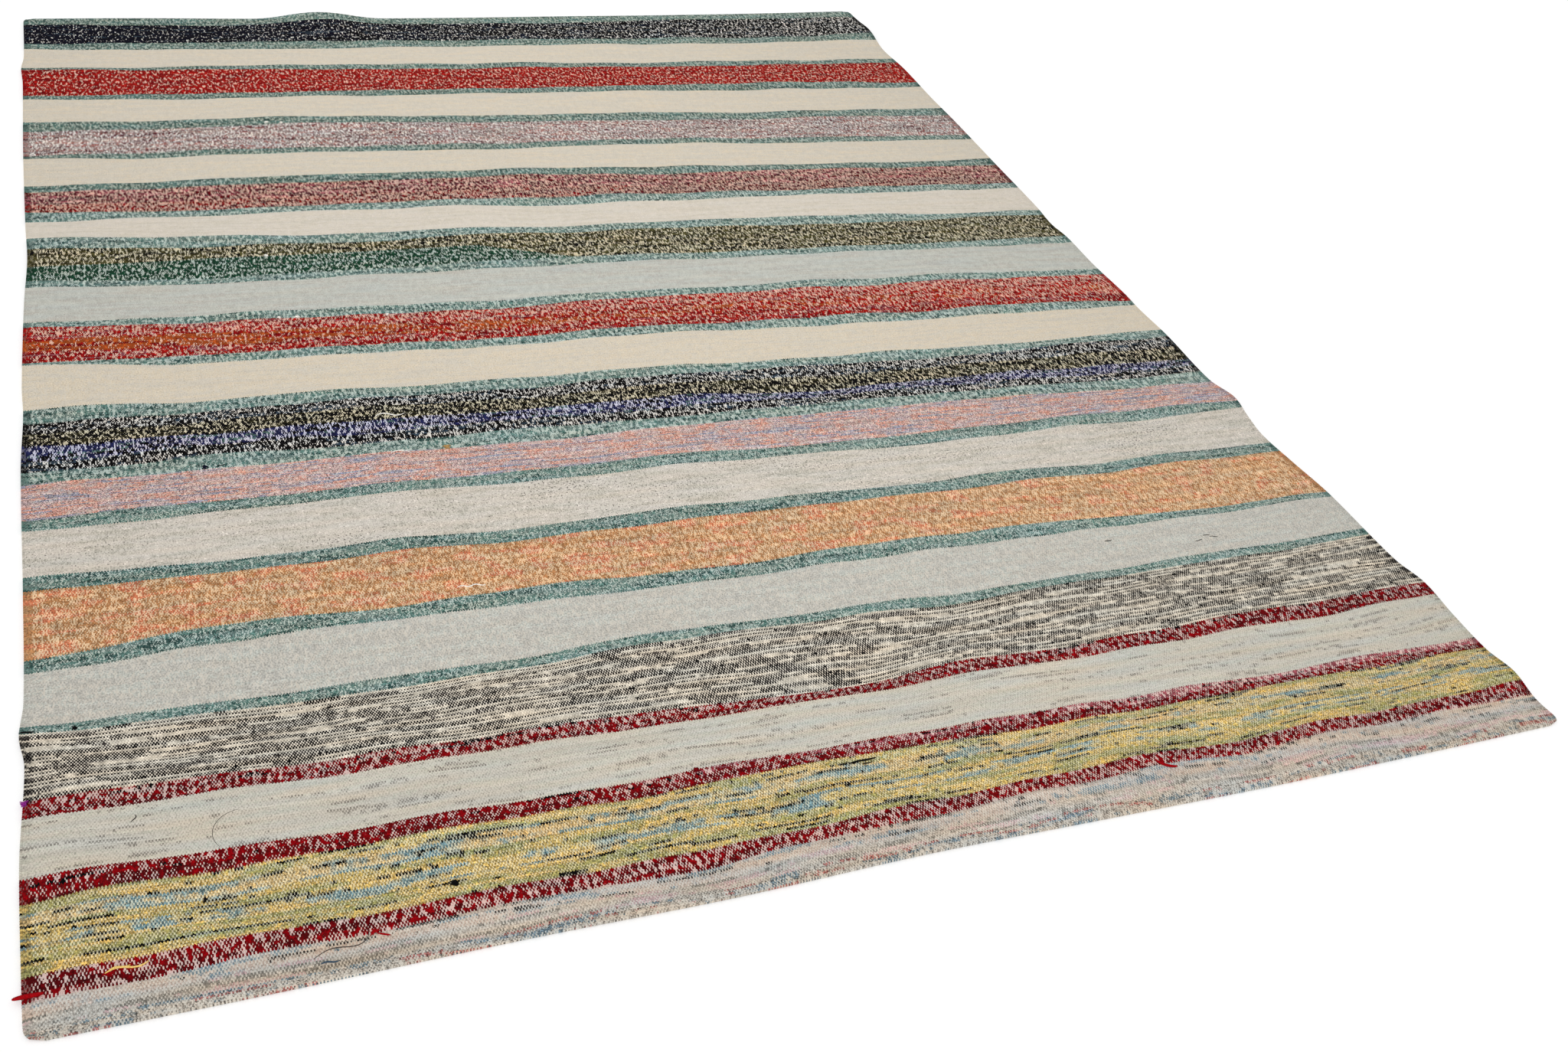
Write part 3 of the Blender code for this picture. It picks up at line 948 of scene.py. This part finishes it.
# The fibres of a loose end: how fast they change for each metre across, along and
# up, how far they lighten and darken it, and how high they stand
STRAND_FIBRES = (700, 900, 300)
STRAND_SHADE = 0.15
STRAND_RELIEF = 0.3
STRAND_HEIGHT = 0.0003


class Amount:
    """A number that varies over a surface. Python's operators add its nodes."""

    def __init__(self, shading, socket):
        self.shading = shading
        self.socket = socket

    def maths(self, operation, *others, clamp=False):
        return self.shading.maths(operation, self, *others, clamp=clamp)

    def __add__(self, other):
        return self.maths("ADD", other)

    __radd__ = __add__

    def __sub__(self, other):
        return self.maths("SUBTRACT", other)

    def __rsub__(self, other):
        return self.shading.maths("SUBTRACT", other, self)

    def __mul__(self, other):
        return self.maths("MULTIPLY", other)

    __rmul__ = __mul__

    def __truediv__(self, other):
        return self.maths("DIVIDE", other)

    def __rtruediv__(self, other):
        return self.shading.maths("DIVIDE", other, self)

    def __mod__(self, other):
        return self.maths("FLOORED_MODULO", other)

    def __lt__(self, other):
        return self.maths("LESS_THAN", other)

    def __gt__(self, other):
        return self.maths("GREATER_THAN", other)

    def __abs__(self):
        return self.maths("ABSOLUTE")

    def floor(self):
        return self.maths("FLOOR")

    def sine(self):
        return self.maths("SINE")

    def clamped(self):
        return self.maths("ADD", 0.0, clamp=True)

    def past(self, edge, softness):
        """0 well below an edge and 1 well above it."""
        return ((self - edge) / softness + 0.5).clamped()


class Shading:
    """A material and the ways to add its nodes."""

    RAMP_STOPS = 32

    def __init__(self, name):
        self.material = bpy.data.materials.new(name)
        self.material.use_nodes = True
        self.tree = self.material.node_tree
        self.tree.nodes.clear()

    def node(self, kind, settings=None, sockets=None):
        """One node: its settings first, then the values or links of its sockets."""
        made = self.tree.nodes.new(kind)
        for name, value in (settings or {}).items():
            if name == "stops":
                self.set_stops(made.color_ramp, value)
            else:
                setattr(made, name, value)
        for name, value in (sockets or {}).items():
            if isinstance(value, Amount):
                value = value.socket
            if isinstance(value, bpy.types.NodeSocket):
                self.tree.links.new(value, made.inputs[name])
            else:
                made.inputs[name].default_value = value
        return made

    @staticmethod
    def set_stops(ramp, stops):
        ramp.interpolation = "CONSTANT"
        while len(ramp.elements) > 1:
            ramp.elements.remove(ramp.elements[-1])
        for index, (place, colour) in enumerate(stops):
            stop = ramp.elements[0] if index == 0 else ramp.elements.new(place)
            stop.position = place
            stop.color = (*colour, 1.0)

    def maths(self, operation, *values, clamp=False):
        made = self.node(
            "ShaderNodeMath", {"operation": operation, "use_clamp": clamp}, dict(enumerate(values))
        )
        return Amount(self, made.outputs[0])

    def point(self, x, y, z=0.0):
        return self.node("ShaderNodeCombineXYZ", None, {0: x, 1: y, 2: z}).outputs[0]

    def parts(self, vector):
        made = self.node("ShaderNodeSeparateXYZ", None, {0: vector})
        return [Amount(self, socket) for socket in made.outputs]

    def grain(self, x, y, detail=0.0):
        """Soft random values around a half."""
        made = self.node(
            "ShaderNodeTexNoise",
            {"noise_dimensions": "2D"},
            {"Vector": self.point(x, y), "Scale": 1.0, "Detail": detail},
        )
        return Amount(self, made.outputs[0])

    def wander(self, x, y, detail=0.0):
        """Soft random values around nothing, two in three of them within 1."""
        return (self.grain(x, y, detail) - 0.5) / GRAIN_SPREAD

    def chance(self, x, y=0.0):
        """A random value from 0 to 1 for each place."""
        made = self.node(
            "ShaderNodeTexWhiteNoise", {"noise_dimensions": "2D"}, {"Vector": self.point(x, y)}
        )
        return Amount(self, made.outputs["Value"])

    def mix(self, factor, first, second, blend="MIX"):
        made = self.node(
            "ShaderNodeMix",
            {"data_type": "RGBA", "blend_type": blend},
            {0: factor, 6: self.colour(first), 7: self.colour(second)},
        )
        return made.outputs[2]

    def scale(self, colour, amount):
        made = self.node(
            "ShaderNodeVectorMath", {"operation": "SCALE"}, {0: colour, "Scale": amount}
        )
        return made.outputs[0]

    @staticmethod
    def colour(value):
        return value if isinstance(value, bpy.types.NodeSocket) else (*value, 1.0)

    def look_up(self, number, colours):
        """The colour in a list that a whole number names."""
        found = None
        for first in range(0, len(colours), self.RAMP_STOPS):
            block = colours[first : first + self.RAMP_STOPS]
            stops = [(index / self.RAMP_STOPS, colour) for index, colour in enumerate(block)]
            place = (number + (0.5 - first)) / self.RAMP_STOPS
            ramp = self.node("ShaderNodeValToRGB", {"stops": stops}, {0: place})
            if found is None:
                found = ramp.outputs[0]
            else:
                found = self.mix(number > first - 0.5, found, ramp.outputs[0])
        return found

    def look_up_amounts(self, number, triples):
        made = self.node("ShaderNodeSeparateColor", None, {0: self.look_up(number, triples)})
        return [Amount(self, socket) for socket in made.outputs]

    def surface(self, **sockets):
        """The shader itself. A name's underscores stand for spaces."""
        named = {name.replace("_", " "): value for name, value in sockets.items()}
        shader = self.node("ShaderNodeBsdfPrincipled", None, named)
        self.node("ShaderNodeOutputMaterial", None, {"Surface": shader.outputs[0]})
        return self.material


def cut_for(share):
    """The level that a share of a wandering value lies above."""
    return NormalDist().inv_cdf(min(max(1 - share, 0.001), 0.999))


def run_spread(yarn):
    """How widely the value that picks a length's dye spreads."""
    together = math.hypot(yarn.patch, 1 - yarn.patch)
    return math.hypot((1 - yarn.broken) * together, yarn.broken, yarn.blot)


def weave_material():
    """Plain weave: coloured picks of weft crossed by a pale warp."""
    settings = bpy.context.scene.rag_rug
    sizes = settings.sizes
    counted = courses()
    yarns = [YARNS[name] for name, _ in counted]

    cloth = Shading("rag weave")
    place = cloth.node("ShaderNodeAttribute", {"attribute_name": WEAVE_ATTRIBUTE})
    across, pick, course = cloth.parts(place.outputs["Vector"])

    def wander(pace, along=pick):
        """A wandering value. A pace with a lot also reads the pick's own, below."""
        over = across * pace.across
        if pace.lot:
            over = over + lot * pace.lot
        return cloth.wander(over, along * pace.along, pace.detail)

    # The threads wander a little, and picks bend round the warp they cross
    warp = (across + wander(WARP_SWAYS) * WARP_SWAY) / sizes.warp_pitch
    weft = pick + wander(PICK_SWAYS) * PICK_SWAY
    over = (warp * math.pi).sine()
    tall = (weft * math.pi).sine() * PICK_FLATNESS
    crossing = over * tall.maths("MINIMUM", 1.0).maths("MAXIMUM", -1.0)
    row = (weft + over * PICK_BEND).floor()

    # The course of each pick, read at the pick's middle
    depth = cloth.look_up_amounts(course.floor(), [(1 / picks, 0, 0) for _, picks in counted])[0]
    number = (course + (row + 0.5 - pick) * depth).floor()

    def dyed(field):
        return cloth.look_up(number, [getattr(settings.dyes, getattr(yarn, field)) for yarn in yarns])

    def kept(*amounts):
        rows = [[(value - KEPT_LOW) / KEPT_SPAN for value in values] for values in zip(*amounts)]
        return [found * KEPT_SPAN + KEPT_LOW for found in cloth.look_up_amounts(number, rows)]

    def fields(*names):
        return [[getattr(yarn, name) for yarn in yarns] for name in names]

    second_cut, third_cut, clump_cut = kept(
        [cut_for(yarn.second_share) * run_spread(yarn) for yarn in yarns],
        [cut_for(yarn.third_share) * math.hypot(1 - yarn.broken, yarn.broken) for yarn in yarns],
        [cut_for(yarn.clump) for yarn in yarns],
    )
    patch, broken, cover = kept(*fields("patch", "broken", "cover"))
    neat, fleck, hatch = kept(*fields("neat", "fleck", "hatch"))
    lean, specks, marl = kept(*fields("lean", "specks", "marl"))
    relief, fade, soft = kept(*fields("relief", "fade", "soft"))
    blot, pairs, tint = kept(*fields("blot", "pairs", "tint"))
    drift, clot, mottle = kept(*fields("drift", "clot", "mottle"))

    # Lengths of another dye along the picks
    lot = cloth.chance(row)
    alone = wander(LONG_RUNS, row)
    shared = wander(SHARED_RUNS, row)
    short = wander(SHORT_RUNS, row)
    run = (alone + (shared - alone) * patch) * (1 - broken) + short * broken
    to_right = across / sizes.width - 0.5
    run = run + to_right * lean * LEAN_REACH + wander(BLOTS) * blot
    run = run + ((row % 2) + lot * PAIR_LOT - PAIR_MIDDLE) * PAIR_REACH * pairs
    single = alone * (1 - broken) + short * broken
    weft_colour = cloth.mix(run.past(second_cut, soft), dyed("main"), dyed("second"))
    weft_colour = cloth.mix((single * -1).past(third_cut, THIRD_SOFT), weft_colour, dyed("third"))

    # The wedge of dark green that tapers out under the olive band
    olive = [name for name, _ in counted].index("olive")
    in_olive = abs(number - olive) < 0.5
    grown = (across / WEDGE_GROWS_OVER).clamped() * WEDGE_GROWTH + WEDGE_DEPTH
    tapered = (across - WEDGE_TURN).past(WEDGE_TAPER / 2, WEDGE_TAPER) * (WEDGE_DEPTH + WEDGE_GROWTH)
    in_wedge = in_olive * ((course - olive) < grown - tapered)
    weft_colour = cloth.mix(in_wedge, weft_colour, tuple(settings.dyes.bottle))
    warp_colour = cloth.mix(in_wedge, dyed("warp"), tuple(settings.dyes.mist))

    # Marl of the twisted plies
    twist = wander(PLIES) * marl * MARL_DEPTH
    weft_colour = cloth.scale(weft_colour, (twist + 1.0).maths("MAXIMUM", DARKEST_PLY))

    # The pale warp: dots at the crossings that run together into flecks
    slant = pick * sizes.weft_pitch
    rising, falling = across + slant, across - slant
    stroke = cloth.wander(rising * STROKES.across, falling * STROKES.along)
    back_stroke = cloth.wander(falling * STROKES.across, rising * STROKES.along)
    hidden = wander(CLUMPS).past(clump_cut, CLUMP_SOFT)
    shown = crossing * neat - cover + to_right * fade + (lot - 0.5) * LOT_SHIFT - hidden * CLUMP_HIDES
    shown = shown + cloth.wander(warp.floor() * FLECKS.across, pick * FLECKS.along) * fleck
    shown = shown + stroke.maths("MAXIMUM", back_stroke) * hatch
    shown = shown + wander(CLOTS) * clot
    from_side = abs(across - sizes.width / 2) * -1 + sizes.width / 2
    inside = from_side.past(EDGE_WIDTH, EDGE_SOFT)
    pale = shown.past(0.0, DOT_SOFT) * (inside * (1 - EDGE_PALE) + EDGE_PALE)

    # Painted shade in the gaps and round each dot. A dot takes on some of the weft's dye
    rim = (1 - abs(shown + RIM_PLACE) / RIM_WIDTH).clamped()
    shade = (rim * RIM_SHADE + GAP_SHADE) * relief * (1 - hidden * CLUMP_CLEARS)
    warp_colour = cloth.mix(tint, warp_colour, weft_colour)
    colour = cloth.mix(pale, cloth.mix(shade, weft_colour, GAP_SHADE_COLOUR), warp_colour)
    gathered = wander(SPECK_GROUPS) * SPECK_GATHERS
    speck = (wander(SPECKS) + gathered).past(SPECK_CUT - specks * SPECK_REACH, SPECK_SOFT)
    colour = cloth.mix(speck * SPECK_DEPTH, colour, tuple(settings.dyes.soot))

    # Each length of a pick is a little lighter or darker, and warmer or cooler,
    # and painted shade makes both sides a little darker than the middle
    cast = wander(CASTS) * drift * CAST_DEPTH
    level = wander(LEVELS, row) * drift * LEVEL_DEPTH + to_right * to_right * -PAINTED_SIDE_SHADE + 1.0
    level = level + wander(MOTTLES) * mottle * MOTTLE_DEPTH
    tinge = cloth.point(1 + cast, 1.0, 1 - cast)
    colour = cloth.node("ShaderNodeVectorMath", {"operation": "MULTIPLY"}, {0: colour, 1: tinge}).outputs[0]
    colour = cloth.scale(colour, level)

    height = (abs(crossing) + wander(FIBRES) * FIBRE_HEIGHT) * relief
    bump = cloth.node(
        "ShaderNodeBump", None, {"Strength": 1.0, "Distance": PICK_HEIGHT, "Height": height}
    )
    return cloth.surface(
        Base_Color=colour, Roughness=0.95, Specular_IOR_Level=0.05, Normal=bump.outputs[0]
    )


def strand_material(name):
    """Twisted yarn of one dye, a little lighter and darker along its fibres."""
    dyes = bpy.context.scene.rag_rug.dyes
    strand = Shading("loose " + name)
    place = strand.node("ShaderNodeTexCoord").outputs["Object"]
    x, y, z = strand.parts(place)
    over, along, up = STRAND_FIBRES
    fibres = strand.wander(x * over + z * up, y * along - z * up, 1.0)
    colour = strand.scale(tuple(getattr(dyes, name)), fibres * STRAND_SHADE + 1.0)
    bump = strand.node(
        "ShaderNodeBump",
        None,
        {"Strength": 1.0, "Distance": STRAND_HEIGHT, "Height": fibres * STRAND_RELIEF},
    )
    return strand.surface(
        Base_Color=colour, Roughness=0.95, Specular_IOR_Level=0.1, Normal=bump.outputs[0]
    )


def floor_material():
    settings = bpy.context.scene.rag_rug.stage
    floor = Shading("pale floor")
    return floor.surface(
        Base_Color=(*settings.floor_colour, 1.0),
        Roughness=0.9,
        Specular_IOR_Level=0.1,
        Emission_Color=(1.0, 1.0, 1.0, 1.0),
        Emission_Strength=settings.floor_glow,
    )


# --------------------------------------------------------------------------
# Operators
# --------------------------------------------------------------------------


class WeaveCloth(Operator):
    """Weave the panel and bind its two selvedges"""

    bl_idname = "rag_rug.weave_cloth"
    bl_label = "Weave cloth"

    def execute(self, context):
        material = weave_material()
        cloth = finish_piece(make_cloth(), material)
        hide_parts(NODE)
        edges = [
            finish_piece(make_selvedge("selvedge_left", False), material),
            finish_piece(make_selvedge("selvedge_right", True), material),
        ]
        loose = [bpy.data.objects[name] for name in loose_names().values()]
        edges + loose
        return {"FINISHED"}


def loose_names():
    """The dyes of the loose ends, each with the name of its piece."""
    return {item.dye: "loose_" + item.dye for item in (*STRANDS, *TUFTS)}


class LayLooseEnds(Operator):
    """Lay the loose ends, knots and tufts of yarn on the cloth"""

    bl_idname = "rag_rug.lay_loose_ends"
    bl_label = "Lay loose ends"

    def execute(self, context):
        for dye_name, name in loose_names().items():
            finish_piece(make_loose_ends(name, dye_name), strand_material(dye_name))
        return {"FINISHED"}


class SetStage(Operator):
    """Set the floor, the light and the camera"""

    bl_idname = "rag_rug.set_stage"
    bl_label = "Set stage"

    def execute(self, context):
        stage = context.scene.rag_rug.stage
        self.lay_floor()
        self.hang_lights(context, stage)
        self.place_camera(context)
        context.scene.view_settings.view_transform = "Standard"
        return {"FINISHED"}

    def lay_floor(self):
        bpy.ops.object.select_all(action="DESELECT")
        bpy.ops.mesh.primitive_plane_add(size=FLOOR_SIDE, location=(0, 0, -FLOOR_DROP))
        floor = bpy.context.object
        floor.name = "floor"
        floor.data.materials.append(floor_material())

    def hang_lights(self, context, stage):
        world = bpy.data.worlds.new("soft light")
        world.use_nodes = True
        background = world.node_tree.nodes["Background"]
        background.inputs["Color"].default_value = (1.0, 1.0, 1.0, 1.0)
        background.inputs["Strength"].default_value = stage.sky_strength
        context.scene.world = world
        turn = [math.radians(angle) for angle in LAMP_TURN]
        bpy.ops.object.light_add(type="SUN", rotation=turn)
        lamp = bpy.context.object
        lamp.name = "key_lamp"
        lamp.data.energy = stage.lamp_strength
        lamp.data.angle = math.radians(LAMP_SPREAD)

    def place_camera(self, context):
        turn = [math.radians(angle) for angle in CAMERA_TURN]
        bpy.ops.object.camera_add(location=CAMERA_PLACE, rotation=turn)
        camera = bpy.context.object
        camera.name = "camera"
        camera.data.lens = CAMERA_LENS
        camera.data.sensor_width = CAMERA_SENSOR
        camera.data.clip_end = CAMERA_REACH
        context.scene.camera = camera


class RugPanel(Panel):
    """The rug's sizes, dyes and operators"""

    bl_idname = "VIEW3D_PT_rag_rug"
    bl_label = "Rag rug"
    bl_space_type = "VIEW_3D"
    bl_region_type = "UI"
    bl_category = "Rag rug"

    def draw(self, context):
        settings = context.scene.rag_rug
        for operator in OPERATORS:
            self.layout.operator(operator.bl_idname)
        for group in (settings.sizes, settings.dyes, settings.stage):
            column = self.layout.column(align=True)
            for name in group.__annotations__:
                column.prop(group, name)


OPERATORS = (LayLooseEnds, WeaveCloth, SetStage)
CLASSES = (RugDyes, RugSizes, StageSettings, RugSettings, *OPERATORS, RugPanel)


def register():
    for item in CLASSES:
        bpy.utils.register_class(item)
    bpy.types.Scene.rag_rug = PointerProperty(type=RugSettings)


def unregister():
    del bpy.types.Scene.rag_rug
    for item in reversed(CLASSES):
        bpy.utils.unregister_class(item)


def main():
    register()
    bpy.ops.rag_rug.lay_loose_ends()
    bpy.ops.rag_rug.weave_cloth()
    bpy.ops.rag_rug.set_stage()


if __name__ == "__main__":
    main()
